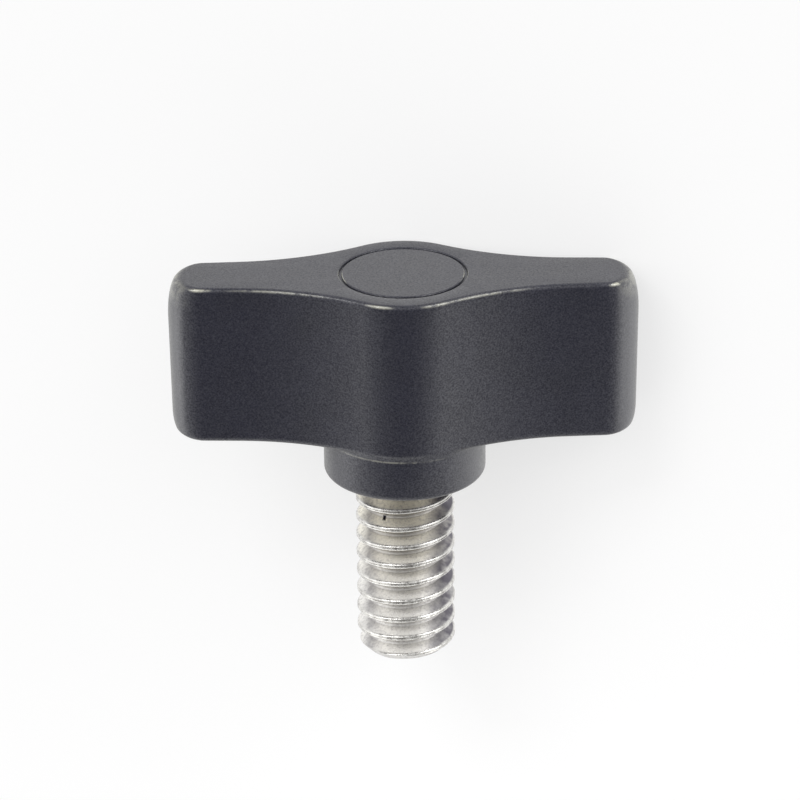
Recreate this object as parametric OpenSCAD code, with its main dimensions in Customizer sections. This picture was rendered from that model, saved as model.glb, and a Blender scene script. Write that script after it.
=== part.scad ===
// Thumb screw: a moulded two-winged handle on a threaded steel stud, with a
// round cap over the pocket that holds the stud's knurled head.
// The screw is modelled upright, stud down, about its own axis, and then laid
// on its side as it comes to rest. The origin is the centre of the seat, where
// the stud leaves the boss, and +Y runs along the stud to its tip.

/* [Handle] */
// Width across both wings, at the top
handle_w = 29; // [24:0.5:40]
// Height of the wings and hub, without the boss
head_h = 10.35; // [8:0.05:16]
// Depth of the hub from front to back, at the top
hub_depth = 10.65; // [9.8:0.05:12]
// Radius of the hub's front and back curves
hub_r = 4.9; // [4.5:0.05:5.3]
// Radius of the hollow curve that joins a hub curve to a wing face
blend_r = 16; // [10:0.5:22]
// Thickness of a wing across its round end, at the top
wing_t = 4.4; // [3.2:0.1:5.6]
// Angle by which each wing face leans out towards the hub
wing_taper = 2.4; // [0:0.1:4]
// Draft of the upright faces, narrowing towards the stud
draft = 0.65; // [0:0.05:1.5]
// Radius of the edge round the top face
top_edge_r = 0.3; // [0.1:0.05:0.6]
// Radius of the edge round the underside
low_edge_r = 0.35; // [0.1:0.05:0.7]
// How far the top corner of a wing end is drawn in
top_round_w = 0.75; // [0.2:0.05:1.4]
// Height over which the top corner of a wing end is rounded
top_round_h = 2.6; // [1:0.1:3.5]
// How far the low corner of a wing end is drawn in
low_round_w = 0.45; // [0.2:0.05:1.4]
// Height over which the low corner of a wing end is rounded
low_round_h = 1.45; // [0.9:0.05:3]

/* [Boss] */
// Diameter of the round boss under the hub
boss_d = 10.1; // [8:0.1:10.4]
// Height of the boss from the seat to the wings
boss_h = 2.9; // [1:0.1:6]
// Radius of the boss's lower edge
boss_edge_r = 0.4; // [0.1:0.05:0.8]

/* [Stud] */
// Length of thread that stands out of the boss
stud_len = 12.3; // [6:0.1:40]
// Outside diameter of the thread
stud_d = 6.2; // [4.8:0.05:6.3]
// Length of the chamfer at the tip
tip_chamfer = 0.6; // [0.2:0.05:1]
// Diameter of the plain neck inside the boss
neck_d = 5.5; // [3.5:0.1:5.9]
// Radial room between the thread and the hole in the boss
hole_clearance = 0.05; // [0.02:0.01:0.3]
// Thickness of the floor between the seat and the pocket
pocket_floor = 4.6; // [3.2:0.1:6]
// Room between the knurled head in the pocket and the cap
head_room = 0.85; // [0.2:0.05:2]
// Number of ribs in the knurl
knurl_ribs = 24; // [12:1:36]
// Height of the knurl's ribs
knurl_depth = 0.25; // [0.1:0.05:0.5]

/* [Cap] */
// Diameter of the cap's visible face
cap_d = 7.58; // [7:0.02:8]
// Width of the groove round the cap
groove_w = 0.16; // [0.08:0.01:0.3]
// Depth of the groove round the cap
groove_depth = 0.6; // [0.3:0.05:1.2]
// Thickness of the cap
cap_t = 2; // [1.4:0.1:2.2]
// Radius of the two lips of the groove
lip_r = 0.12; // [0.04:0.01:0.2]

/* [Hidden] */
$fn = 96;
// Segments along the hub, blend and end curves of a quarter outline
hub_steps = 8;
blend_steps = 7;
end_steps = 9;
// Rings of the loft in each rounded edge and each rounded corner
edge_steps = 3;
corner_steps = 5;
// Overlap of solids that are cut or joined
lap = 0.5;

head_z = boss_h;
top_z = boss_h + head_h;
boss_r = boss_d / 2;
stud_r = stud_d / 2;
neck_r = neck_d / 2;
hole_r = stud_r + hole_clearance;
tip_r = stud_r - tip_chamfer;
cap_r = cap_d / 2;
pocket_r = cap_r + groove_w;
anchor_h = top_z - cap_t - head_room - pocket_floor;

// Plan geometry of one quarter: +X along the wing, +Y to the hub's curve
end_r = wing_t / 2;
end_centre = [handle_w / 2 - end_r, 0];
hub_centre = [0, hub_depth / 2 - hub_r];
face_along = [cos(wing_taper), -sin(wing_taper)];
face_out = [sin(wing_taper), cos(wing_taper)];
// The blend's centre lies blend_r off the wing face and touches the hub's curve
blend_reach = end_centre + (end_r + blend_r) * face_out - hub_centre;
blend_span = blend_reach * face_along;
blend_back = blend_span - sqrt(pow(blend_span, 2) - blend_reach * blend_reach + pow(hub_r + blend_r, 2));
blend_centre = hub_centre + blend_reach - blend_back * face_along;
blend_from_hub = blend_centre - hub_centre;
blend_angle = atan2(blend_from_hub.y, blend_from_hub.x);

// On its side the screw rests on the hub and on one wing end, so it rolls from
// level by the angle of the line that touches both curves
wing_offset = end_centre - hub_centre;
rest_roll = asin((hub_r - end_r) / norm(wing_offset)) - atan2(wing_offset.y, wing_offset.x);

// Points of an arc, without its last one
function arc(centre, r, from, to, steps, squash = 1) =
    [for (i = [0 : steps - 1]) let (a = from + (to - from) * i / steps)
        centre + r * [squash * cos(a), sin(a)]];

// Quarter outline from the middle of the hub to the end of a wing, moved in by
// inset all round and drawn in by pull at the wing's end
function quarter(inset, pull) = concat(
    arc(hub_centre, hub_r - inset, 90, blend_angle, hub_steps),
    arc(blend_centre, blend_r + inset, 180 + blend_angle, 270 - wing_taper, blend_steps),
    arc(end_centre, end_r - inset, 90 - wing_taper, 0, end_steps, 1 - pull / (end_r - inset)),
    [end_centre + [end_r - inset - pull, 0]]
);

// Whole outline, clockwise seen from above
function outline(q) = let (last = len(q) - 1) concat(
    q,
    [for (i = [last - 1 : -1 : 0]) [q[i].x, -q[i].y]],
    [for (i = [1 : last]) [-q[i].x, -q[i].y]],
    [for (i = [last - 1 : -1 : 1]) [-q[i].x, q[i].y]]
);

// Draw-in of a quarter ellipse w wide and h high, at d into its height
function ease(d, w, h) = d <= 0 ? 0 : w * (1 - sqrt(max(0, 1 - pow(d / h, 2))));

// Draw-in of the whole outline and of the wing ends, at height z
function inset_at(z) = (top_z - z) * tan(draft)
    + ease(z - top_z + top_edge_r, top_edge_r, top_edge_r)
    + ease(head_z + low_edge_r - z, low_edge_r, low_edge_r);
function pull_at(z) = ease(z - top_z + top_round_h, top_round_w, top_round_h)
    + ease(head_z + low_round_h - z, low_round_w, low_round_h);

// Depths of the rings in a rounding h high, past the first depth given
function ring_depths(h, past, steps) = let (a = acos(1 - past / h))
    [for (i = [past > 0 ? 1 : 0 : steps]) h * (1 - cos(a + (90 - a) * i / steps))];

low_depths = concat(ring_depths(low_edge_r, 0, edge_steps), ring_depths(low_round_h, low_edge_r, corner_steps));
top_depths = concat(ring_depths(top_edge_r, 0, edge_steps), ring_depths(top_round_h, top_edge_r, corner_steps));
head_levels = concat(
    [for (d = low_depths) head_z + d],
    [for (i = [len(top_depths) - 1 : -1 : 0]) top_z - top_depths[i]]
);

// Lays the upright screw on its back, the wing at +X of the upright one down
module laid_down() {
    rotate([-90, 0, 180]) rotate([0, 0, rest_roll]) children();
}

// Strips across an outline of n points from each of its points to the mirrored
// one, which are convex where the outline isn't
function strips(n) = [for (half = [0, n / 2]) for (i = [half : half + n / 4 - 1])
    let (a = (n + n / 2 - i) % n, b = (n + n / 2 - i - 1) % n)
        b == i + 1 ? [i, i + 1, a] : [i, i + 1, b, a]];

// Loft through outlines of equal point count, one at each level
module loft(outlines, levels) {
    n = len(outlines[0]);
    top = (len(levels) - 1) * n;
    polyhedron(
        points = [for (k = [0 : len(levels) - 1]) for (p = outlines[k]) [p.x, p.y, levels[k]]],
        faces = concat(
            [for (f = strips(n)) [for (i = [len(f) - 1 : -1 : 0]) f[i]]],
            [for (k = [0 : n : top - n]) for (i = [0 : n - 1]) let (j = (i + 1) % n)
                [k + i, k + j, k + n + j, k + n + i]],
            [for (f = strips(n)) [for (i = f) top + i]]
        )
    );
}

// Wings and hub
module winged_head() {
    loft([for (z = head_levels) outline(quarter(inset_at(z), pull_at(z)))], head_levels);
}

// Round column with a rounded lower edge, standing on z = 0
module rounded_column(r, h, edge) {
    rotate_extrude() {
        square([r - edge, h]);
        translate([0, edge]) square([r, h - edge]);
        translate([r - edge, edge]) intersection() {
            circle(edge);
            translate([-edge, -edge]) square([2 * edge, edge + lap]);
        }
    }
}

// Ring that rounds the corner where a hole of radius r meets a flat at z = 0
module mouth_rounding(r, edge) {
    rotate_extrude() translate([r, -edge]) difference() {
        translate([-lap, 0]) square([edge + lap, edge + lap]);
        translate([edge, 0]) circle(edge);
        translate([edge, 0]) square([lap, edge + lap]);
    }
}

// Moulded handle: wings, hub and boss in one, with the pocket and the hole
module handle() {
    color("#2b2b2e") laid_down() difference() {
        union() {
            winged_head();
            rounded_column(boss_r, boss_h + lap, boss_edge_r);
        }
        translate([0, 0, -lap]) cylinder(r = hole_r, h = pocket_floor + 2 * lap);
        translate([0, 0, pocket_floor]) cylinder(r = pocket_r, h = top_z - pocket_floor + lap);
        translate([0, 0, top_z]) mouth_rounding(pocket_r, lip_r);
    }
}

// Knurled head that the pocket grips
module anchor_head() {
    root_r = pocket_r - knurl_depth;
    rib_w = PI * root_r / knurl_ribs;
    cylinder(r = root_r, h = anchor_h);
    intersection() {
        cylinder(r = pocket_r, h = anchor_h);
        for (i = [0 : knurl_ribs - 1])
            rotate(360 * i / knurl_ribs) translate([root_r - lap, -rib_w / 2, 0])
                cube([knurl_depth + 2 * lap, rib_w, anchor_h]);
    }
}

// Steel stud: the thread's outer cylinder, the tip's chamfer, neck and head
module threaded_stud() {
    color("#b9b6ac") laid_down() {
        translate([0, 0, -stud_len]) cylinder(r1 = tip_r, r2 = stud_r, h = tip_chamfer);
        translate([0, 0, tip_chamfer - stud_len]) cylinder(r = stud_r, h = stud_len - tip_chamfer);
        translate([0, 0, -lap]) cylinder(r = neck_r, h = pocket_floor + 2 * lap);
        translate([0, 0, pocket_floor]) anchor_head();
    }
}

// Pressed-in cap: a plug the size of the pocket under a smaller visible face
module cover_cap() {
    color("#303033") laid_down() translate([0, 0, top_z]) {
        translate([0, 0, -cap_t]) cylinder(r = pocket_r, h = cap_t - groove_depth);
        mirror([0, 0, 1]) rounded_column(cap_r, groove_depth + lap, lip_r);
    }
}

handle();
threaded_stud();
cover_cap();
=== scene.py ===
"""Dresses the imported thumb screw: moulded winged handle, threaded stud and cap.

Everything is shaped in millimetres on the upright screw, stud down, about its
own axis, and then laid on its side in the row frame.
"""

import logging
import math
from contextlib import contextmanager
from dataclasses import dataclass
from enum import Enum
from typing import ClassVar, Iterator, Sequence

import bmesh
import bpy
from mathutils import Matrix, Vector


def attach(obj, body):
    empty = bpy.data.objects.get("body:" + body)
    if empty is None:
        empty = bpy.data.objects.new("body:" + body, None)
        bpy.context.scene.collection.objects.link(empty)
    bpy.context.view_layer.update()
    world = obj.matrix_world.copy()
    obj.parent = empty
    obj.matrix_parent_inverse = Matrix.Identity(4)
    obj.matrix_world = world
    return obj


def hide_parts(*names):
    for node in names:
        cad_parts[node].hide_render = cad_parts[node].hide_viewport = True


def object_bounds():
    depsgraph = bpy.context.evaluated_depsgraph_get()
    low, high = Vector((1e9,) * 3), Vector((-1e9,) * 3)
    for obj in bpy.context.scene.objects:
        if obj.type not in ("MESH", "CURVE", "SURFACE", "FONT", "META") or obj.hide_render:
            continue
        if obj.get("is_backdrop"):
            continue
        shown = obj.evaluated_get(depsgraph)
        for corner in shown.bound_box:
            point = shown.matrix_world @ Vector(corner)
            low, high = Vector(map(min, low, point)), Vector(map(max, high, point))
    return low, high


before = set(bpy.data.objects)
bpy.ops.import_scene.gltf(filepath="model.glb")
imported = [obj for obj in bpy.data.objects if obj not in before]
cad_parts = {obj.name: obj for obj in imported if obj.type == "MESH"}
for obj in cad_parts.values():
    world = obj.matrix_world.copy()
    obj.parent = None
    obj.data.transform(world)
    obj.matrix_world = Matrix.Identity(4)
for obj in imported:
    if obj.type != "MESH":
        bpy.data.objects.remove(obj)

log = logging.getLogger("thumb_screw")

Point = tuple[float, float]
Place = tuple[float, float, float]
Colour = tuple[float, float, float, float]
Ring = list[Vector]
Socket = bpy.types.NodeSocket

MM = 0.001
IMAGE_SIDE = 800
SENSOR = 36.0
WHITE: Colour = (1.0, 1.0, 1.0, 1.0)
BLACK: Colour = (0.0, 0.0, 0.0, 1.0)
# Vertices that are closer than this, in millimetres, are merged
WELD = 0.0005
# Where the values of a noise lie, taken widely and narrowly
WIDE_BAND: Point = (0.3, 0.7)
NARROW_BAND: Point = (0.35, 0.65)
# Sockets of a Mix node: its share, its two numbers and their blend, its two colours and their blend
MIX_SHARE = 0
FIRST_NUMBER, SECOND_NUMBER, MIXED_NUMBER = 2, 3, 0
FIRST_COLOUR, SECOND_COLOUR, MIXED_COLOUR = 6, 7, 2
# Arcs at the two sides of a groove's lip that get a painted highlight: their turn towards the front, and
# half their width
GLINT_ARC_TURN = math.radians(8.0)
GLINT_ARC_HALF = math.radians(17.0)


class Slot(Enum):
    """Material slots of the record."""

    HANDLE = "handle_plastic"
    STUD = "stud_steel"
    CAP = "cap_plastic"


class Mark(Enum):
    """Mesh attributes that the finishes read."""

    SPOT = "spot"
    # Painted highlights on edges and a pale line on the seam, where the plastic is also glossier
    WEAR = "glint_and_wear"
    POLISH = "polish"


@dataclass(frozen=True)
class RestPose:
    """How the upright screw is laid down: rolled about its axis, then tipped.

    The roll is the angle of the line that touches the hub's curve and the
    curve of a wing's end, on which the screw comes to rest.
    """

    roll: float

    def matrix(self) -> Matrix:
        """Turn from the upright screw to the row frame, without the scale."""
        tipped = Matrix(((-1, 0, 0, 0), (0, 0, -1, 0), (0, -1, 0, 0), (0, 0, 0, 1)))
        return tipped @ Matrix.Rotation(self.roll, 4, "Z")

    def lay(self, piece: bpy.types.Object) -> None:
        """Moves a piece's mesh from upright millimetres to the row frame, and its object not at all."""
        piece.data.transform(Matrix.Scale(MM, 4) @ self.matrix())
        piece.data.update()


def pick(piece: bpy.types.Object) -> None:
    """Selects one piece alone and makes it the active one.

    Args:
        piece: The object to select.
    """
    bpy.ops.object.select_all(action="DESELECT")
    piece.select_set(True)
    bpy.context.view_layer.objects.active = piece


@contextmanager
def editing(piece: bpy.types.Object) -> Iterator[None]:
    """Edit mode on one piece alone, picking by vertex, with all of it selected.

    Args:
        piece: The object to edit.
    """
    pick(piece)
    bpy.ops.object.mode_set(mode="EDIT")
    bpy.ops.mesh.select_mode(type="VERT")
    bpy.ops.mesh.select_all(action="SELECT")
    yield
    bpy.ops.object.mode_set(mode="OBJECT")


def apply_modifier(piece: bpy.types.Object, name: str, kind: str, **settings: object) -> None:
    """Adds a modifier to a piece and applies it.

    Args:
        piece: The object that gets the modifier.
        name: The modifier's name.
        kind: The modifier's type.
        settings: The modifier's properties.
    """
    pick(piece)
    modifier = piece.modifiers.new(name, kind)
    for key, value in settings.items():
        setattr(modifier, key, value)
    bpy.ops.object.modifier_apply(modifier=modifier.name)


def smooth(piece: bpy.types.Object, angle: float) -> None:
    """Smooth shading that keeps flats flat and sharp edges sharp.

    Args:
        piece: The object to shade.
        angle: Edges that turn by more than this many degrees stay sharp.
    """
    pick(piece)
    bpy.ops.object.shade_smooth_by_angle(angle=math.radians(angle))
    apply_modifier(piece, "even_normals", "WEIGHTED_NORMAL", keep_sharp=True)


def face_outwards(piece: bpy.types.Object) -> None:
    """Makes every face of a closed piece point outwards."""
    with editing(piece):
        bpy.ops.mesh.normals_make_consistent(inside=False)


def weld(piece: bpy.types.Object) -> None:
    """Merges the doubles of a piece, fills any gap left and makes its faces point outwards.

    Args:
        piece: The object to mend.
    """
    with editing(piece):
        bpy.ops.mesh.remove_doubles(threshold=WELD)
        bpy.ops.mesh.fill_holes(sides=0)
    face_outwards(piece)


def extrude(step: Vector) -> None:
    """Extrudes what is selected by a step, in edit mode.

    Args:
        step: How far the new vertices move.
    """
    free = (False, False, False)
    move = {"value": step, "orient_type": "GLOBAL", "constraint_axis": free}
    bpy.ops.mesh.extrude_region_move(TRANSFORM_OT_translate=move)


def set_ring(shell: bpy.types.Object, ring: Ring, values: dict[Mark, list[float]]) -> None:
    """Moves the selected vertices to a ring's points and writes their marks, in edit mode.

    Args:
        shell: The shell that is being made, whose spots tell its vertices apart.
        ring: The ring's points.
        values: What the finishes read of each point.
    """
    cage = bmesh.from_edit_mesh(shell.data)
    spot = cage.verts.layers.int[Mark.SPOT.value]
    layers = {mark: cage.verts.layers.float[mark.value] for mark in values}
    for vertex in cage.verts:
        if vertex.select:
            vertex.co = ring[vertex[spot]]
            for mark, layer in layers.items():
                vertex[layer] = values[mark][vertex[spot]]
    bmesh.update_edit_mesh(shell.data)


def ring_shell(name: str, rings: Sequence[Ring], loop: bool = False,
               marks: dict[Mark, list[list[float]]] | None = None) -> bpy.types.Object:
    """Shell extruded from ring to ring, closed at its ends or into a loop.

    Args:
        name: The object's name.
        rings: Rings of equal point count, in order along the shell.
        loop: Joins the last ring to the first instead of filling both.
        marks: What the finishes read of each point of each ring: its painted highlight and wear, and its
            polish.

    Returns:
        The closed shell.
    """
    count = len(rings[0])
    bpy.ops.object.select_all(action="DESELECT")
    bpy.ops.mesh.primitive_circle_add(vertices=count, radius=rings[0][0].xy.length)
    shell = bpy.context.object
    shell.name = name
    values = {mark: [[0.0] * count] * len(rings) for mark in (Mark.WEAR, Mark.POLISH)}
    values.update(marks or {})
    with editing(shell):
        cage = bmesh.from_edit_mesh(shell.data)
        spot = cage.verts.layers.int.new(Mark.SPOT.value)
        for mark in values:
            cage.verts.layers.float.new(mark.value)
        for index, vertex in enumerate(cage.verts):
            vertex[spot] = index
        for number, ring in enumerate(rings):
            if number > 0:
                extrude(Vector((0.0, 0.0, 0.0)))
            set_ring(shell, ring, {mark: lists[number] for mark, lists in values.items()})
        bpy.ops.mesh.select_mode(type="EDGE")
        bpy.ops.mesh.select_all(action="DESELECT")
        bpy.ops.mesh.select_non_manifold()
        if loop:
            bpy.ops.mesh.bridge_edge_loops()
        else:
            bpy.ops.mesh.edge_face_add()
    face_outwards(shell)
    return shell


def traced(name: str, points: Sequence[Vector]) -> bpy.types.Object:
    """Open line extruded from point to point.

    Args:
        name: The object's name.
        points: The line's points in order.

    Returns:
        The line as a mesh of edges.
    """
    bpy.ops.object.select_all(action="DESELECT")
    bpy.ops.mesh.primitive_plane_add(size=1.0)
    line = bpy.context.object
    line.name = name
    with editing(line):
        bpy.ops.mesh.merge(type="CENTER")
        bpy.ops.transform.translate(value=points[0])
        for start, end in zip(points, points[1:]):
            extrude(end - start)
    return line


def circle(radius: float, z: float, angles: Sequence[float]) -> Ring:
    """Ring of a circle about the axis, with its points at the given angles."""
    return [Vector((radius * math.cos(a), radius * math.sin(a), z)) for a in angles]


def even_angles(count: int) -> list[float]:
    """Angles of a full turn in equal steps."""
    return [math.tau * i / count for i in range(count)]


def steps(start: float, end: float, count: int) -> list[float]:
    """Numbers from start to end, both among them, with a count of equal spaces between them."""
    return [start + (end - start) * i / count for i in range(count + 1)]


def ramp(value: float, low: float, high: float) -> float:
    """How far a value has come from low to high, as a share held between 0 and 1."""
    return min(1.0, max(0.0, (value - low) / (high - low)))


def hump(offset: float) -> float:
    """Height of a round hump: 1 in its middle, and 0 from an offset of 1 outwards."""
    return max(0.0, 1 - offset**2)


def glint_side(point: Vector) -> float:
    """How far a point of a groove's lip lies in the arcs at its two sides that get a painted highlight,
    from 0 to 1.
    """
    side = Vector((math.copysign(math.cos(GLINT_ARC_TURN), point.x), -math.sin(GLINT_ARC_TURN)))
    return hump(point.xy.angle(side) / GLINT_ARC_HALF)


@dataclass(frozen=True)
class Cells:
    """Looks of one noise: its cells per metre, its finer layers and how strong they are."""

    scale: float
    detail: float
    roughness: float


class Graph:
    """Node tree of one material or world, under a single shader."""

    def __init__(self, owner: bpy.types.Material | bpy.types.World) -> None:
        """Empties the tree of a new material or world.

        Args:
            owner: The material or world.
        """
        self.owner = owner
        owner.use_nodes = True
        self.tree = owner.node_tree
        self.tree.nodes.clear()
        self.coordinates = self.add("ShaderNodeTexCoord").outputs

    def add(self, kind: str, inputs: dict[str | int, object] | None = None,
            **settings: object) -> bpy.types.Node:
        """Adds a node, with links or values on its inputs.

        Args:
            kind: The node's type.
            inputs: Value or source socket of each named input.
            settings: The node's own properties.

        Returns:
            The node.
        """
        node = self.tree.nodes.new(kind)
        for key, value in settings.items():
            setattr(node, key, value)
        for key, value in (inputs or {}).items():
            if isinstance(value, Socket):
                self.tree.links.new(value, node.inputs[key])
            else:
                node.inputs[key].default_value = value
        return node

    def maths(self, operation: str, first: object, second: object = 0.0) -> Socket:
        """Result of one sum on two values or sockets."""
        return self.add("ShaderNodeMath", {0: first, 1: second}, operation=operation).outputs[0]

    def off(self, value: Socket, middle: float) -> Socket:
        """How far a value lies from a middle, on either side."""
        return self.maths("ABSOLUTE", self.maths("SUBTRACT", value, middle))

    def split(self, vector: Socket) -> Sequence[Socket]:
        """A vector's three numbers."""
        return self.add("ShaderNodeSeparateXYZ", {0: vector}).outputs

    def mark(self, mark: Mark) -> Socket:
        """What a mesh attribute says of each point."""
        return self.add("ShaderNodeAttribute", attribute_name=mark.value).outputs["Fac"]

    def noise(self, cells: Cells) -> Socket:
        """Noise over the piece, from 0 to 1.

        Args:
            cells: The noise's looks.

        Returns:
            The noise.
        """
        inputs = {"Vector": self.coordinates["Object"], "Scale": cells.scale}
        inputs.update({"Detail": cells.detail, "Roughness": cells.roughness})
        return self.add("ShaderNodeTexNoise", inputs).outputs["Fac"]

    def spread(self, value: Socket, low: float, high: float, to_low: float, to_high: float) -> Socket:
        """Value moved from the span low to high to the span to_low to to_high, and held within it."""
        inputs = {0: value, 1: low, 2: high, 3: to_low, 4: to_high}
        return self.add("ShaderNodeMapRange", inputs).outputs[0]

    def mix(self, share: object, first: object, second: object) -> Socket:
        """Blend of two colours or their sockets, with a share of the second."""
        inputs = {MIX_SHARE: share, FIRST_COLOUR: first, SECOND_COLOUR: second}
        return self.add("ShaderNodeMix", inputs, data_type="RGBA").outputs[MIXED_COLOUR]

    def bump(self, height: Socket, depth: float, strength: float) -> Socket:
        """Normal of a surface that a height roughens to a depth in metres."""
        inputs = {"Strength": strength, "Distance": depth, "Height": height}
        return self.add("ShaderNodeBump", inputs).outputs[0]

    def finish(self, shader: bpy.types.Node, output: str) -> bpy.types.Material | bpy.types.World:
        """Material or world with a shader on an output node of the given type."""
        self.add(output, {"Surface": shader.outputs[0]})
        return self.owner


@dataclass(frozen=True)
class MouldedPlastic:
    """Black plastic from a spark-eroded mould, with a fine matt grain and painted highlights on its
    marked edges.
    """

    name: str
    colour: Colour = (0.0170, 0.0173, 0.0290, 1.0)
    dark_share: float = 0.85
    pale_share: float = 1.15
    # Colour painted on the marked edges as a highlight; the marks also make them glossier
    painted_glint_colour: Colour = (0.62, 0.61, 0.51, 1.0)
    worn_gloss: float = 0.2
    roughness: float = 0.34
    roughness_span: Point = (-0.06, 0.08)
    grain: Cells = Cells(6500.0, 2.0, 0.6)
    grain_depth: float = 0.000009
    specks: Cells = Cells(9750.0, 1.0, 0.5)
    cloud: Cells = Cells(350.0, 3.0, 0.55)
    cloud_share: float = 0.15
    # Noise that breaks the painted highlights into spots
    glint_breaks: Cells = Cells(2000.0, 3.0, 0.6)
    glint_break_span: Point = (0.4, 0.54)
    least_glint_break: float = 0.15
    dust: float = 0.12
    dust_roughness: float = 0.4
    dust_colour: Colour = (1.0, 0.98, 0.8, 1.0)
    ior: float = 1.56
    gloss_span: Point = (0.26, 0.74)
    polish_gain: float = 1.4

    def surface(self, graph: Graph, specks: Socket) -> Socket:
        """Colour with its specks, darker clouds and painted highlights on its marked edges.

        Args:
            graph: The material's nodes.
            specks: The noise of the specks.

        Returns:
            The colour.
        """
        dark = (*(c * self.dark_share for c in self.colour[:3]), 1.0)
        pale = (*(c * self.pale_share for c in self.colour[:3]), 1.0)
        speckled = graph.mix(graph.spread(specks, *WIDE_BAND, 0.0, 1.0), dark, pale)
        cloud = graph.spread(graph.noise(self.cloud), *NARROW_BAND, 0.0, self.cloud_share)
        # Painted highlights on the marked edges, broken into spots
        glint_breaks = graph.spread(graph.noise(self.glint_breaks), *self.glint_break_span, self.least_glint_break, 1.0)
        painted_glint = graph.maths("MULTIPLY", graph.mark(Mark.WEAR), glint_breaks)
        return graph.mix(painted_glint, graph.mix(cloud, speckled, BLACK), self.painted_glint_colour)

    def build(self) -> bpy.types.Material:
        """Makes the material.

        Returns:
            The material.
        """
        graph = Graph(bpy.data.materials.new(self.name))
        fine = graph.noise(self.grain)
        specks = graph.noise(self.specks)
        smoothest, roughest = (self.roughness + change for change in self.roughness_span)
        matt = graph.spread(fine, *NARROW_BAND, smoothest, roughest)
        rubbed = graph.maths("MULTIPLY", graph.mark(Mark.WEAR), self.worn_gloss)
        glint = graph.spread(specks, *WIDE_BAND, *self.gloss_span)
        polished = graph.maths("MULTIPLY", graph.mark(Mark.POLISH), self.polish_gain)
        return graph.finish(graph.add("ShaderNodeBsdfPrincipled", {
            "Base Color": self.surface(graph, specks),
            "Roughness": graph.maths("SUBTRACT", matt, rubbed),
            "IOR": self.ior,
            "Specular IOR Level": graph.maths("ADD", glint, polished),
            "Sheen Weight": self.dust,
            "Sheen Roughness": self.dust_roughness,
            "Sheen Tint": self.dust_colour,
            "Normal": graph.bump(fine, self.grain_depth, 1.0),
        }), "ShaderNodeOutputMaterial")


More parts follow.
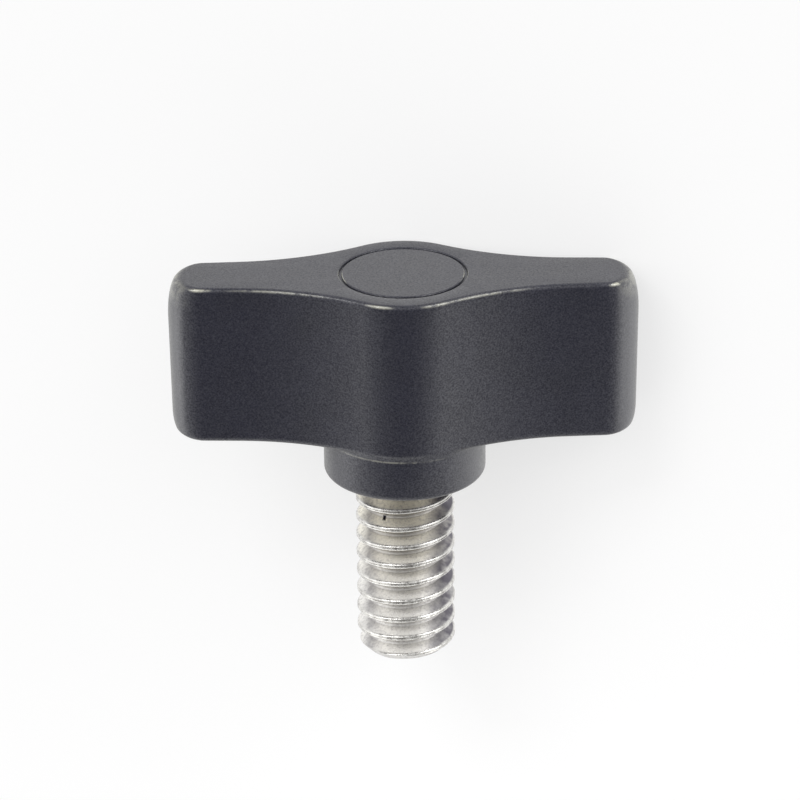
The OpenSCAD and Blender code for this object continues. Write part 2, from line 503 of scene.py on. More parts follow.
@dataclass(frozen=True)
class RolledSteel:
    """Plated steel with a rolled thread, dark in its roots and bright on its crests.

    The roots and the flanks that face the tip are darkened with painted shade, and the others
    are dull, with grit and with painted shade in patches on one side. Lengths are in metres.
    """

    name: str
    colour: Colour = (0.80, 0.79, 0.76, 1.0)
    flank_colour: Colour = (0.94, 0.925, 0.89, 1.0)
    brown_colour: Colour = (0.97, 0.93, 0.81, 1.0)
    # Painted shade on one side of the flanks and in a small patch; the grit's flecks take it too
    shade_and_grit_colour: Colour = (0.17, 0.16, 0.185, 1.0)
    pit_colour: Colour = (0.015, 0.014, 0.02, 1.0)
    # Painted shade in the roots and on the flanks that face the tip; the crests' streaks take it too
    shade_and_streak_colour: Colour = (0.34, 0.325, 0.31, 1.0)
    roughness: float = 0.42
    roughness_span: Point = (-0.08, 0.12)
    crest_gloss: float = 0.16
    grit: Cells = Cells(5200.0, 4.0, 0.65)
    grit_span: Point = (0.45, 0.7)
    grit_share: float = 0.42
    grit_depth: float = 0.000014
    grit_strength: float = 0.7
    # Noise that breaks up the painted shade patches
    cloud: Cells = Cells(900.0, 3.0, 0.55)
    cloud_span: Point = (0.35, 0.55)
    least_patch: float = 0.6
    streaks: Cells = Cells(2600.0, 3.0, 0.6)
    streak_span: Point = (0.38, 0.6)
    streak_share: float = 0.6
    root_span: Point = (0.00237, 0.00248)
    flank_span: Point = (0.00294, 0.00304)
    # Where the flanks get painted shade: past a span on one side, and in a small patch of middle and half
    # width, with its share
    patch_span: Point = (0.0017, 0.0025)
    small_patch: Point = (0.0019, 0.0007)
    small_share: float = 0.6
    brown_span: Point = (0.002, 0.008)
    # Painted shade on the flanks that face the tip, and how it lessens along the stud
    tipward_span: Point = (0.2, 0.5)
    root_shade_fade: Point = (0.003, 0.010)
    root_shade_shares: Point = (0.9, 0.4)
    pit_place: Place = (0.00076, 0.00246, 0.0006)
    pit_span: Point = (0.00008, 0.00013)

    def dull(self, graph: Graph, across: Socket, along: Socket, grit: Socket) -> Socket:
        """Colour of the dull flanks, browner near the boss, with grit and with painted shade in patches.

        Args:
            graph: The material's nodes.
            across: Place across the stud.
            along: Place along the stud, towards its tip.
            grit: The noise of the grit.

        Returns:
            The colour.
        """
        # Painted shade on one side of the stud and in a small patch, broken up by noise
        side = graph.spread(graph.maths("MULTIPLY", across, -1.0), *self.patch_span, 0.0, 1.0)
        middle, half = self.small_patch
        small = graph.spread(graph.off(across, middle), 0.0, half, self.small_share, 0.0)
        cloud = graph.spread(graph.noise(self.cloud), *self.cloud_span, self.least_patch, 1.0)
        patch = graph.maths("MULTIPLY", graph.maths("MAXIMUM", side, small), cloud)
        tipwards = graph.spread(along, *self.brown_span, 0.0, 1.0)
        tint = graph.mix(tipwards, self.brown_colour, self.flank_colour)
        dirt = graph.spread(grit, *self.grit_span, 0.0, self.grit_share)
        return graph.mix(dirt, graph.mix(patch, tint, self.shade_and_grit_colour), self.shade_and_grit_colour)

    def painted_root_shade(self, graph: Graph, radius: Socket, flank: Socket, along: Socket) -> Socket:
        """Share of painted shade, in the roots and on the flanks that face the tip, less towards the tip.

        Args:
            graph: The material's nodes.
            radius: Distance from the stud's axis.
            flank: Share of the flanks.
            along: Place along the stud, towards its tip.

        Returns:
            The share.
        """
        root = graph.spread(radius, *self.root_span, 1.0, 0.0)
        facing = graph.split(graph.coordinates["Normal"])[1]
        tipwards = graph.spread(facing, *self.tipward_span, 0.0, 1.0)
        root_shade = graph.maths("MAXIMUM", root, graph.maths("MULTIPLY", flank, tipwards))
        return graph.maths("MULTIPLY", root_shade, graph.spread(along, *self.root_shade_fade, *self.root_shade_shares))

    def pitted(self, graph: Graph, across: Socket, along: Socket, height: Socket) -> Socket:
        """Share of the one dark pit on the front of the stud.

        Args:
            graph: The material's nodes.
            across: Place across the stud.
            along: Place along the stud, towards its tip.
            height: Place above the stud's axis.

        Returns:
            The share.
        """
        x, y, least = self.pit_place
        wide = graph.maths("MAXIMUM", graph.off(across, x), graph.off(along, y))
        front = graph.maths("GREATER_THAN", height, least)
        return graph.maths("MULTIPLY", front, graph.spread(wide, *self.pit_span, 1.0, 0.0))

    def build(self) -> bpy.types.Material:
        """Makes the material.

        Returns:
            The material.
        """
        graph = Graph(bpy.data.materials.new(self.name))
        across, along, height = graph.split(graph.coordinates["Object"])
        squares = [graph.maths("POWER", place, 2.0) for place in (across, height)]
        radius = graph.maths("SQRT", graph.maths("ADD", *squares))
        flank = graph.spread(radius, *self.flank_span, 1.0, 0.0)
        grit = graph.noise(self.grit)
        streaks = graph.spread(graph.noise(self.streaks), *self.streak_span, 1.0, 0.0)
        oily = graph.maths("MULTIPLY", streaks, self.streak_share)
        crests = graph.mix(oily, self.colour, self.shade_and_streak_colour)
        colour = graph.mix(flank, crests, self.dull(graph, across, along, grit))
        # Painted shade in the roots and on the flanks that face the tip
        colour = graph.mix(self.painted_root_shade(graph, radius, flank, along), colour, self.shade_and_streak_colour)
        colour = graph.mix(self.pitted(graph, across, along, height), colour, self.pit_colour)
        smoothest, roughest = (self.roughness + change for change in self.roughness_span)
        matt = graph.spread(grit, *WIDE_BAND, smoothest, roughest)
        rubbed = graph.maths("MULTIPLY", graph.maths("SUBTRACT", 1.0, flank), self.crest_gloss)
        return graph.finish(graph.add("ShaderNodeBsdfPrincipled", {
            "Base Color": colour,
            "Metallic": 1.0,
            "Roughness": graph.maths("SUBTRACT", matt, rubbed),
            "Normal": graph.bump(grit, self.grit_depth, self.grit_strength),
        }), "ShaderNodeOutputMaterial")


@dataclass(frozen=True)
class FloorPaper:
    """Plain white paper under the screw, which gloss and metal see unshaded.

    The camera sees a share of it unshaded too, so that its shadow stays light.
    """

    name: str = "floor_paper"
    colour: Colour = (0.93, 0.93, 0.93, 1.0)
    fibre_colour: Colour = (0.8, 0.8, 0.8, 1.0)
    fibres: Cells = Cells(1500.0, 2.0, 0.5)
    fibre_share: float = 0.02
    unshaded: float = 0.62

    def build(self) -> bpy.types.Material:
        """Makes the material.

        Returns:
            The material.
        """
        graph = Graph(bpy.data.materials.new(self.name))
        fibres = graph.spread(graph.noise(self.fibres), *WIDE_BAND, 0.0, self.fibre_share)
        pale = graph.mix(fibres, self.colour, self.fibre_colour)
        paper = graph.add("ShaderNodeBsdfDiffuse", {"Color": pale})
        shown = graph.add("ShaderNodeEmission", {"Strength": 1.0})
        path = graph.add("ShaderNodeLightPath").outputs
        mirrored = graph.maths("MAXIMUM", path["Is Glossy Ray"], path["Is Transmission Ray"])
        seen = graph.maths("MULTIPLY", path["Is Camera Ray"], self.unshaded)
        both = {0: graph.maths("MAXIMUM", mirrored, seen), 1: paper.outputs[0], 2: shown.outputs[0]}
        return graph.finish(graph.add("ShaderNodeMixShader", both), "ShaderNodeOutputMaterial")


class Part:
    """One sub-assembly, which builds its piece upright and dresses it as it lies."""

    node: ClassVar[str]
    slot: ClassVar[Slot]
    sharp: ClassVar[float]

    def build(self) -> bpy.types.Object:
        """Makes the piece as one closed mesh, in upright millimetres."""
        raise NotImplementedError

    def material(self) -> bpy.types.Material:
        """Makes the piece's finish."""
        raise NotImplementedError

    def dress(self, piece: bpy.types.Object, pose: RestPose) -> None:
        """Lays a piece down, smooths it, gives it its finish and lets it stand for its CAD node.

        Args:
            piece: The object.
            pose: How the upright screw is laid down.
        """
        pose.lay(piece)
        face_outwards(piece)
        smooth(piece, self.sharp)
        piece.data.materials.clear()
        piece.data.materials.append(self.material())
        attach(piece, "root")
        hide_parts(self.node)


@dataclass
class WingedHandle(Part):
    """Moulded handle: two wings and a hub on a round boss."""

    node: ClassVar[str] = "handle"
    slot: ClassVar[Slot] = Slot.HANDLE
    sharp: ClassVar[float] = 32.0

    width: float = 29.0
    head_h: float = 10.35
    hub_depth: float = 10.65
    hub_r: float = 4.9
    blend_r: float = 16.0
    wing_t: float = 4.4
    taper: float = math.radians(2.4)
    draft: float = math.radians(0.65)
    top_edge_r: float = 0.3
    low_edge_r: float = 0.35
    top_round: Point = (0.75, 2.6)
    low_round: Point = (0.45, 1.45)
    boss_r: float = 5.05
    boss_h: float = 2.9
    boss_edge_r: float = 0.4
    flare_span: Point = (2.62, 3.25)
    underside_step: float = 0.04
    hole_r: float = 3.15
    pocket_r: float = 3.95
    pocket_floor: float = 4.6
    lip_r: float = 0.11
    # How finely each curve is stepped
    hub_steps: int = 22
    blend_steps: int = 20
    face_steps: int = 6
    end_steps: int = 26
    boss_steps: int = 7
    low_steps: tuple[int, int] = (7, 10)
    side_steps: int = 4
    top_steps: tuple[int, int] = (10, 14)
    lip_steps: int = 4
    # Pale line along the seam under the hub: where it is, how strong, and its middle and half length
    seam_z: float = 2.72
    seam_half: float = 0.09
    seam_pale: float = 0.32
    seam_pale_span: Point = (-1.2, 4.0)
    # Painted highlight on the pocket's lip, and the part of the lip that has it
    lip_glint: float = 0.45
    lip_glint_span: Point = (0.1, 0.5)
    rim_w: float = 0.5
    # Painted highlight on the wings' top corners, which starts quickly below the top
    corner_glint: float = 0.4
    corner_span: Point = (13.0, 14.2)
    corner_h: float = 1.5
    corner_rise: float = 12.0
    # Painted highlight along the top edge: the turn round it where it is brightest, and spots of x, half
    # length and share
    glint_turn: float = math.radians(54.0)
    glint_half: float = math.radians(14.0)
    glint_end: float = 13.45
    glint_fade: float = 0.3
    glint_spots: tuple[Place, ...] = (
        (-12.65, 1.0, 0.85), (-7.7, 3.3, 0.4), (-1.5, 0.95, 0.65),
        (2.1, 1.2, 0.6), (4.8, 3.2, 0.45), (13.1, 0.7, 1.0),
    )
    # Polish of the wings' ends, and of the boss's left and right sides
    left_polish: Point = (13.45, 14.3)
    right_polish: Point = (12.9, 14.0)
    boss_polish: Point = (0.25, 0.8)
    boss_span: Point = (2.6, 4.6)

    def __post_init__(self) -> None:
        """Works out the plan's arcs, and the angles that every ring keeps."""
        self.top_z = self.boss_h + self.head_h
        self.end_r = self.wing_t / 2
        self.end_centre = Vector((self.width / 2 - self.end_r, 0.0))
        self.hub_centre = Vector((0.0, self.hub_depth / 2 - self.hub_r))
        along = Vector((math.cos(self.taper), -math.sin(self.taper)))
        out = Vector((math.sin(self.taper), math.cos(self.taper)))
        reach = self.end_centre + (self.end_r + self.blend_r) * out - self.hub_centre
        span = reach.dot(along)
        back = span - math.sqrt(span**2 - reach.length_squared + (self.hub_r + self.blend_r)**2)
        self.blend_centre = self.hub_centre + reach - back * along
        towards = self.blend_centre - self.hub_centre
        self.blend_angle = math.atan2(towards.y, towards.x)
        self.angles = [math.atan2(y, x) for x, y in self.outline(0.0, 0.0)]

    def rest_roll(self) -> float:
        """Angle from level at which the hub and one wing's end both touch the floor."""
        offset = self.end_centre - self.hub_centre
        return math.asin((self.hub_r - self.end_r) / offset.length) - math.atan2(offset.y, offset.x)

    def quarter(self, inset: float, pull: float) -> list[Point]:
        """Outline from the middle of the hub to the end of a wing.

        Args:
            inset: How far the outline is moved in all round.
            pull: How far the wing's end is drawn in.

        Returns:
            The quarter's points.
        """
        points = []
        for a in steps(math.pi / 2, self.blend_angle, self.hub_steps)[:-1]:
            points.append(self.hub_centre + (self.hub_r - inset) * Vector((math.cos(a), math.sin(a))))
        for a in steps(math.pi + self.blend_angle, 1.5 * math.pi - self.taper, self.blend_steps):
            points.append(self.blend_centre + (self.blend_r + inset) * Vector((math.cos(a), math.sin(a))))
        end_r = self.end_r - inset
        end = []
        for a in steps(math.pi / 2 - self.taper, 0.0, self.end_steps):
            end.append(self.end_centre + Vector(((end_r - pull) * math.cos(a), end_r * math.sin(a))))
        face = [points[-1].lerp(end[0], share) for share in steps(0.0, 1.0, self.face_steps)[1:-1]]
        return [(p.x, p.y) for p in points + face + end]

    def outline(self, inset: float, pull: float) -> list[Point]:
        """Whole outline, from the middle of the hub round and back to it.

        Args:
            inset: How far the outline is moved in all round.
            pull: How far the wings' ends are drawn in.

        Returns:
            The outline's points.
        """
        q = self.quarter(inset, pull)
        right = q + [(x, -y) for x, y in reversed(q[:-1])]
        return right + [(-x, -y) for x, y in right[1:-1]]

    @staticmethod
    def ease(depth: float, draw: float, height: float) -> float:
        """Draw-in of a quarter ellipse at a depth into its height."""
        return 0.0 if depth <= 0 else draw * (1 - math.sqrt(max(0.0, 1 - (depth / height)**2)))

    def flare(self, z: float) -> float:
        """How far the boss has widened at a height, on its way into the hub.

        Args:
            z: The height.

        Returns:
            The growth of its radius.
        """
        low, high = self.flare_span
        hub = self.outline((self.top_z - high) * math.tan(self.draft), 0.0)
        least = min(Vector(p).length for p in hub)
        return (least - self.boss_r) * (0.5 - 0.5 * math.cos(math.pi * ramp(z, low, high)))

    def level(self, z: float) -> Ring:
        """Ring of the head at one height, with its draft and rounded edges.

        Args:
            z: The ring's height.

        Returns:
            The ring's points.
        """
        inset = (self.top_z - z) * math.tan(self.draft)
        inset += self.ease(z - self.top_z + self.top_edge_r, self.top_edge_r, self.top_edge_r)
        inset += self.ease(self.boss_h + self.low_edge_r - z, self.low_edge_r, self.low_edge_r)
        pull = self.ease(z - self.top_z + self.top_round[1], *self.top_round)
        pull += self.ease(self.boss_h + self.low_round[1] - z, *self.low_round)
        plan = [Vector(p) for p in self.outline(inset, pull)]
        if z < self.flare_span[1]:
            least = self.boss_r + self.flare(z)
            plan = [p * max(1.0, least / p.length) for p in plan]
        return [Vector((p.x, p.y, z)) for p in plan]

    @staticmethod
    def depths(height: float, past: float, count: int) -> list[float]:
        """Depths of the rings in a rounding, past the depth that others cover.

        Args:
            height: The rounding's height.
            past: The depth that is covered already.
            count: The number of rings.

        Returns:
            The depths from its outer end.
        """
        start = math.acos(1 - past / height)
        turns = steps(start, math.pi / 2, count)
        return [height * (1 - math.cos(a)) for a in (turns[1:] if past else turns)]

    def head_levels(self) -> list[float]:
        """Heights of the head's rings, from the underside to the top.

        Returns:
            The heights.
        """
        low = self.depths(self.low_edge_r, 0.0, self.low_steps[0])
        low += self.depths(self.low_round[1], self.low_edge_r, self.low_steps[1])
        top = self.depths(self.top_edge_r, 0.0, self.top_steps[0])
        top += self.depths(self.top_round[1], self.top_edge_r, self.top_steps[1])
        side = steps(self.boss_h + self.low_round[1], self.top_z - self.top_round[1], self.side_steps)
        return [self.boss_h + d for d in low] + side[1:-1] + [self.top_z - d for d in reversed(top)]

    def edge_glint(self, point: Vector) -> float:
        """How strong the painted highlight on the rounded top edge is at a point: most halfway round it,
        in spots along it.

        Args:
            point: A point of the head.

        Returns:
            The highlight's share from 0 to 1.
        """
        depth = (self.top_z - point.z) / self.top_edge_r
        edge = 0.0 <= depth <= 1.0 and point.xy.length > self.pocket_r + self.rim_w
        if not edge or abs(point.x) > self.glint_end:
            return 0.0
        along = max(share * hump((point.x - x) / half) for x, half, share in self.glint_spots)
        off = abs(math.acos(1 - depth) - self.glint_turn)
        across = max(0.0, 1 - off / (self.glint_half * (1 + along)))
        return across * along * min(1.0, (self.glint_end - abs(point.x)) / self.glint_fade)

    def glint_and_wear(self, point: Vector) -> float:
        """How strongly a point of the handle is paled: a pale line on its seam, and painted highlights on
        its pocket's lip, its wings' top corners and its top edge.

        Args:
            point: A point of the handle.

        Returns:
            The share from 0 to 1.
        """
        # Pale line along the seam under the hub
        if abs(point.z - self.seam_z) < self.seam_half / 2:
            middle, half = self.seam_pale_span
            return self.seam_pale * hump((point.x - middle) / half)
        # Painted highlights on the pocket's lip at its two sides
        low, high = self.lip_glint_span
        up_lip = (point.xy.length - self.pocket_r) / self.lip_r
        if low < up_lip < high and point.z > self.top_z - self.lip_r:
            return self.lip_glint * glint_side(point)
        # Painted highlights on the wings' top corners and along the top edge
        below = (self.top_z - point.z) / self.corner_h
        corner = self.corner_glint * max(0.0, min(1 - below, self.corner_rise * below))
        return max(ramp(abs(point.x), *self.corner_span) * corner, self.edge_glint(point))

    def polish(self, point: Vector) -> float:
        """How far the fingers have polished a point: the wings' ends and the boss's sides.

        Args:
            point: A point of the handle.

        Returns:
            The polish from 0 to 1.
        """
        if point.z < self.boss_h:
            most = self.boss_polish[0 if point.x < 0 else 1]
            return ramp(abs(point.x), *self.boss_span) * most * min(1.0, point.z / self.boss_edge_r)
        near_end = ramp(abs(point.x), *(self.left_polish if point.x < 0 else self.right_polish))
        off_flats = min(self.top_z - point.z, point.z - self.boss_h) / self.top_edge_r
        return near_end * min(1.0, max(0.0, off_flats))

    def boss_rings(self) -> list[Ring]:
        """Rings from the hole's mouth round the boss to the head's underside.

        Returns:
            The rings.
        """
        rings = [circle(self.hole_r, 0.0, self.angles)]
        for a in steps(0.0, math.pi / 2, self.boss_steps):
            radius = self.boss_r - self.boss_edge_r * (1 - math.sin(a))
            rings.append(circle(radius, self.boss_edge_r * (1 - math.cos(a)), self.angles))
        seam = (self.seam_z - self.seam_half, self.seam_z, self.seam_z + self.seam_half)
        for z in (self.flare_span[0], *seam, self.boss_h - self.underside_step, self.boss_h):
            rings.append(circle(self.boss_r + self.flare(z), z, self.angles))
        return rings

    def pocket_rings(self) -> list[Ring]:
        """Rings from the pocket's lip down its wall and in to the hole.

        Returns:
            The rings.
        """
        rings = []
        for a in steps(0.0, math.pi / 2, self.lip_steps):
            radius = self.pocket_r + self.lip_r * (1 - math.sin(a))
            rings.append(circle(radius, self.top_z - self.lip_r * (1 - math.cos(a)), self.angles))
        rings.append(circle(self.pocket_r, self.pocket_floor, self.angles))
        rings.append(circle(self.hole_r, self.pocket_floor, self.angles))
        return rings

    def build(self) -> bpy.types.Object:
        """Makes the handle's closed shell.

        Returns:
            The handle.
        """
        rings = self.boss_rings() + [self.level(z) for z in self.head_levels()] + self.pocket_rings()
        marks = {
            Mark.WEAR: [[self.glint_and_wear(p) for p in ring] for ring in rings],
            Mark.POLISH: [[self.polish(p) for p in ring] for ring in rings],
        }
        handle = ring_shell("handle_shell", rings, True, marks)
        weld(handle)
        return handle

    def material(self) -> bpy.types.Material:
        """Makes the handle's plastic."""
        return MouldedPlastic("handle_plastic").build()


@dataclass
class ThreadedStud(Part):
    """Steel stud: rolled thread, neck and knurled head in the pocket."""

    node: ClassVar[str] = "threaded_stud"
    slot: ClassVar[Slot] = Slot.STUD
    sharp: ClassVar[float] = 50.0

    length: float = 12.3
    tip_chamfer: float = 0.6
    # The thread's form. Crest points are shares of the crest's rounding: in from it, and up the flank
    crest_r: float = 3.1
    pitch: float = 1.27
    flank: float = math.radians(30.0)
    crest_half: float = 0.115
    root_round: float = 0.16
    crest_round: float = 0.05
    crest_start: float = 0.6
    crest_points: tuple[Point, ...] = ((1.0, 0.0), (0.3, 0.5), (0.0, 1.1))
    seam: Point = (0.045, 0.06)
    start: float = math.pi
    root_steps: int = 5
    flank_steps: int = 3
    turn_steps: int = 96
    # How far the thread and its rod run past each other before they are trimmed
    spare_turns: int = 3
    spare_tip: float = 0.4
    spare_seat: float = 0.1
    spare_r: float = 0.3
    cut_reach: float = 0.00001
    # The neck, and the knurled head with its bevel
    neck_r: float = 2.75
    neck_chamfer: Point = (0.3, 0.6)
    knurl_r: float = 3.94
    knurl_floor: float = 4.6
    knurl_h: float = 5.8
    knurl_bevel: float = 0.3
    ribs: int = 24
    rib_h: float = 0.25

    def profile(self) -> list[Vector]:
        """One pitch of the thread, from root to root, as points out from the axis.

        Returns:
            The points.
        """
        apex = self.crest_r - (self.pitch / 2 - self.crest_half) / math.tan(self.flank)
        half = []
        centre = apex + self.root_round / math.sin(self.flank)
        for a in steps(0.0, math.pi / 2 - self.flank, self.root_steps):
            half.append((centre - self.root_round * math.cos(a), self.root_round * math.sin(a)))
        low_r, low_z = half[-1]
        corner_r = self.crest_r - self.crest_round
        high_z = self.pitch / 2 - self.crest_half - self.crest_start * self.crest_round
        for share in steps(0.0, 1.0, self.flank_steps)[1:-1]:
            half.append((low_r + (corner_r - low_r) * share, low_z + (high_z - low_z) * share))
        for inwards, up in self.crest_points:
            half.append((self.crest_r - inwards * self.crest_round, high_z + up * self.crest_round))
        half.append((self.crest_r, self.pitch / 2 - self.seam[0]))
        points = half + [(self.crest_r - self.seam[1], self.pitch / 2)]
        points += [(r, self.pitch - z) for r, z in reversed(half)]
        return [Vector((r, 0.0, z)) for r, z in points]

    def thread(self) -> bpy.types.Object:
        """Makes the thread, cut square at the seat and past the tip.

        Returns:
            The thread.
        """
        line = traced("stud_thread", self.profile())
        turns = math.ceil(self.length / self.pitch) + self.spare_turns
        apply_modifier(line, "helix", "SCREW", angle=math.tau, screw_offset=self.pitch, iterations=turns,
                       steps=self.turn_steps, render_steps=self.turn_steps, axis="Z")
        with editing(line):
            bpy.ops.mesh.remove_doubles(threshold=WELD)
            down = self.pitch * (turns - 1 + self.start / math.tau)
            bpy.ops.transform.translate(value=(0.0, 0.0, -down))
            for z, up in ((0.0, 1.0), (-self.length - self.spare_tip, -1.0)):
                bpy.ops.mesh.select_all(action="SELECT")
                bpy.ops.mesh.bisect(plane_co=(0.0, 0.0, z), plane_no=(0.0, 0.0, up), use_fill=True,
                                    clear_outer=True, threshold=self.cut_reach)
        face_outwards(line)
        return line

    def rod(self) -> bpy.types.Object:
        """Makes the chamfered rod that gives the stud its tip.

        Returns:
            The rod.
        """
        angles = even_angles(self.turn_steps * 2)
        wide = self.crest_r + self.spare_r
        rings = [circle(self.crest_r - self.tip_chamfer, -self.length, angles)]
        rings.append(circle(wide, -self.length + (self.tip_chamfer + self.spare_r), angles))
        rings.append(circle(wide, self.spare_seat, angles))
        return ring_shell("stud_rod", rings)

    def anchor(self) -> bpy.types.Object:
        """Makes the neck and the knurled head.

        Returns:
            The neck and head.
        """
        root = self.knurl_r - self.rib_h
        slope = (root + self.rib_h / 2,)
        radii = 3 * (root,) + slope + 3 * (self.knurl_r,) + slope
        angles = even_angles(self.ribs * len(radii))
        top = self.knurl_floor + self.knurl_h
        inwards, down = self.neck_chamfer
        rings = [circle(self.neck_r - inwards, -down, angles), circle(self.neck_r, 0.0, angles)]
        rings.append(circle(self.neck_r, self.knurl_floor, angles))
        rings.append(circle(root - self.knurl_bevel, self.knurl_floor, angles))
        for z in (self.knurl_floor + self.knurl_bevel, top - self.knurl_bevel):
            ring = zip(circle(1.0, z, angles), radii * self.ribs)
            rings.append([Vector((p.x * radius, p.y * radius, z)) for p, radius in ring])
        rings.append(circle(root - self.knurl_bevel, top, angles))
        return ring_shell("stud_anchor", rings)

    def build(self) -> bpy.types.Object:
        """Makes the stud as one closed mesh.

        Returns:
            The stud.
        """
        stud = self.thread()
        for tool, operation in ((self.rod(), "INTERSECT"), (self.anchor(), "UNION")):
            apply_modifier(stud, "trim", "BOOLEAN", object=tool, operation=operation, solver="EXACT")
            bpy.data.objects.remove(tool, do_unlink=True)
        weld(stud)
        return stud

    def material(self) -> bpy.types.Material:
        """Makes the stud's steel."""
        return RolledSteel("stud_steel").build()


@dataclass
class CoverCap(Part):
    """Round cap: a visible face with a groove round it on a wider plug."""

    node: ClassVar[str] = "cover_cap"
    slot: ClassVar[Slot] = Slot.CAP
    sharp: ClassVar[float] = 32.0

    face_r: float = 3.78
    plug_r: float = 3.94
    groove_depth: float = 0.16
    thickness: float = 2.0
    lip_r: float = 0.1
    lip_steps: int = 5
    top_z: float = 13.25
    points: int = 192
    # Painted highlight on the lip, and the rings that have it
    lip_glint: float = 0.45
    lip_rings: tuple[int, ...] = (5, 6)

    def build(self) -> bpy.types.Object:
        """Makes the cap's closed shell.

        Returns:
            The cap.
        """
        angles = even_angles(self.points)
        shoulder = self.top_z - self.groove_depth
        rings = [circle(self.plug_r, self.top_z - self.thickness, angles)]
        rings += [circle(self.plug_r, shoulder, angles), circle(self.face_r, shoulder, angles)]
        for a in steps(0.0, math.pi / 2, self.lip_steps):
            radius = self.face_r - self.lip_r * (1 - math.cos(a))
            rings.append(circle(radius, self.top_z - self.lip_r * (1 - math.sin(a)), angles))
        # Painted highlights on the lip at its two sides
        shares = [self.lip_glint if i in self.lip_rings else 0.0 for i in range(len(rings))]
        glint_and_wear = [[share * glint_side(p) for p in ring] for share, ring in zip(shares, rings)]
        return ring_shell("cap_disc", rings, marks={Mark.WEAR: glint_and_wear})

    def material(self) -> bpy.types.Material:
        """Makes the cap's plastic."""
        return MouldedPlastic("cap_plastic").build()


@dataclass(frozen=True)
class PhotoCamera:
    """Camera of the photograph, about the upright screw."""

    yaw: float = math.radians(-0.58035)
    pitch: float = math.radians(24.76057)
    roll: float = math.radians(0.5586)
    right: float = 0.30611
    down: float = 4.22388
    distance: float = 254.36437
    focal: float = 4062.36278
    clip: Point = (0.01, 10.0)

    def build(self, pose: RestPose) -> bpy.types.Object:
        """Makes the camera in the row frame.

        Args:
            pose: How the upright screw is laid down.

        Returns:
            The camera.
        """
        swap = Matrix(((1, 0, 0), (0, 0, -1), (0, 1, 0)))
        turn = Matrix.Rotation(-self.roll, 3, "Z") @ Matrix.Rotation(self.pitch, 3, "X")
        seen = turn @ swap @ Matrix.Rotation(-self.yaw, 3, "Z")
        centre = -(seen.transposed() @ Vector((self.right, self.down, self.distance)))
        axes = Matrix((seen[0], -seen[1], -seen[2])).transposed().to_4x4()
        data = bpy.data.cameras.new("photo_camera")
        data.sensor_width = SENSOR
        data.lens = self.focal * SENSOR / IMAGE_SIDE
        data.clip_start, data.clip_end = self.clip
        camera = bpy.data.objects.new("photo_camera", data)
        bpy.context.scene.collection.objects.link(camera)
        camera.matrix_world = Matrix.Translation(pose.matrix() @ (centre * MM)) @ pose.matrix() @ axes
        bpy.context.scene.camera = camera
        return camera


@dataclass(frozen=True)
class SoftBox:
    """Rectangular lamp that points at the screw, placed about the upright one."""

    name: str
    place: Place
    size: Point
    radiance: float

    def build(self, pose: RestPose) -> bpy.types.Object:
        """Makes the lamp.

        Args:
            pose: How the upright screw is laid down.

        Returns:
            The lamp.
        """
        data = bpy.data.lights.new(self.name, "AREA")
        data.shape = "RECTANGLE"
        data.size, data.size_y = self.size
        data.energy = self.radiance * math.pi * self.size[0] * self.size[1]
        lamp = bpy.data.objects.new(self.name, data)
        bpy.context.scene.collection.objects.link(lamp)
        lamp.visible_camera = False
        lamp.location = pose.matrix() @ Vector(self.place)
        lamp.rotation_mode = "QUATERNION"
        lamp.rotation_quaternion = (-lamp.location).to_track_quat("-Z", "Y")
        return lamp


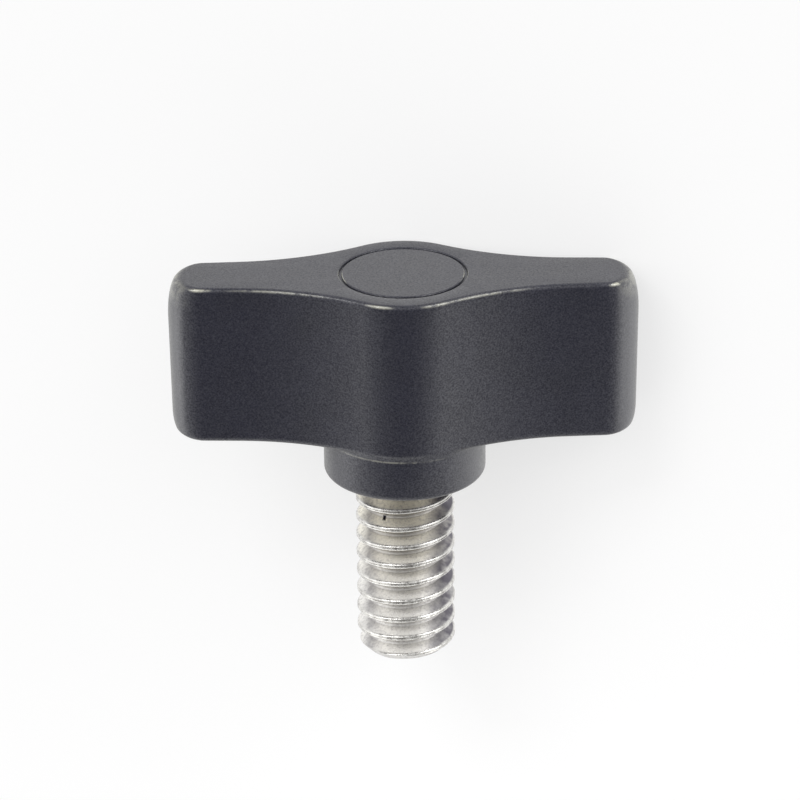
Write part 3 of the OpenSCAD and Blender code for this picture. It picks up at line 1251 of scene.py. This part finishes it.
@dataclass(frozen=True)
class Studio:
    """Floor, soft sky and lamps round the screw.

    The sky is dimmer about one direction and darker about another, both
    given about the upright screw. The camera sees it white.
    """

    floor_side: float = 6.0
    floor_cells: int = 4
    bright_sky: float = 1.44
    dim_sky: float = 0.17
    dim_place: Place = (0.03, -0.905, -0.418)
    dim_span: Point = (0.3, 0.97)
    dark_place: Place = (0.0, -0.1, 1.0)
    dark_span: Point = (0.7, 0.93)
    dark_share: float = 0.15
    shown_sky: float = 1.0
    boxes: tuple[SoftBox, ...] = (
        SoftBox("left_strip", (-0.266, -0.223, 0.414), (0.3, 0.15), 6.0),
        SoftBox("right_strip", (0.30, -0.173, 0.414), (0.34, 0.15), 6.0),
        SoftBox("left_box", (-0.45, -0.03, -0.21), (0.34, 0.25), 0.2),
        SoftBox("right_box", (0.402, -0.196, -0.209), (0.3, 0.16), 0.42),
        SoftBox("low_card", (0.0, -0.03, -0.036), (0.14, 0.03), 0.6),
    )

    def floor(self, z: float) -> bpy.types.Object:
        """Makes the floor at a height, as part of the stage.

        Args:
            z: The floor's height.

        Returns:
            The floor.
        """
        bpy.ops.object.select_all(action="DESELECT")
        bpy.ops.mesh.primitive_grid_add(x_subdivisions=self.floor_cells, y_subdivisions=self.floor_cells,
                                        size=self.floor_side, location=(0.0, 0.0, z))
        floor = bpy.context.object
        floor.name = "floor"
        floor.data.materials.append(FloorPaper().build())
        floor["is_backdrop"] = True
        return floor

    @staticmethod
    def faded(graph: Graph, about: Vector, span: Point, far: float, near: float) -> Socket:
        """Value that goes from far to near towards one direction.

        Args:
            graph: The world's nodes.
            about: The direction.
            span: How well a place agrees with it where the value starts and ends, up to 1.
            far: The value away from it.
            near: The value close to it.

        Returns:
            The value.
        """
        inputs = {0: graph.coordinates["Generated"], 1: about.normalized()}
        towards = graph.add("ShaderNodeVectorMath", inputs, operation="DOT_PRODUCT")
        return graph.spread(towards.outputs["Value"], *span, far, near)

    def sky_light(self, pose: RestPose) -> None:
        """Makes the world: a soft light that looks white from the camera.

        Args:
            pose: How the upright screw is laid down.
        """
        world = bpy.data.worlds.new("soft_sky")
        bpy.context.scene.world = world
        graph = Graph(world)
        dim_way, dark_way = (pose.matrix() @ Vector(place) for place in (self.dim_place, self.dark_place))
        dim = self.faded(graph, dim_way, self.dim_span, self.bright_sky, self.dim_sky)
        dark = self.faded(graph, dark_way, self.dark_span, 1.0, self.dark_share)
        seen = graph.add("ShaderNodeLightPath").outputs["Is Camera Ray"]
        both = {MIX_SHARE: seen, FIRST_NUMBER: graph.maths("MULTIPLY", dim, dark),
                SECOND_NUMBER: self.shown_sky}
        strength = graph.add("ShaderNodeMix", both).outputs[MIXED_NUMBER]
        sky = graph.add("ShaderNodeBackground", {"Color": WHITE, "Strength": strength})
        graph.finish(sky, "ShaderNodeOutputWorld")

    def build(self, floor_z: float, pose: RestPose) -> None:
        """Sets up the whole studio.

        Args:
            floor_z: The floor's height.
            pose: How the upright screw is laid down.
        """
        self.floor(floor_z)
        self.sky_light(pose)
        for box in self.boxes:
            box.build(pose)


def main() -> None:
    """Builds the scene, piece by piece."""
    logging.basicConfig(level=logging.INFO, format="%(name)s: %(message)s")
    cad_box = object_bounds()
    bpy.context.scene.view_settings.view_transform = "Standard"
    handle = WingedHandle()
    pose = RestPose(handle.rest_roll())
    PhotoCamera().build(pose)
    Studio().build(cad_box[0].z, pose)
    for part in (handle, ThreadedStud(), CoverCap()):
        piece = part.build()
        part.dress(piece, pose)
        log.info("%s: %d faces for %s", piece.name, len(piece.data.polygons), part.node)


if __name__ == "__main__":
    main()
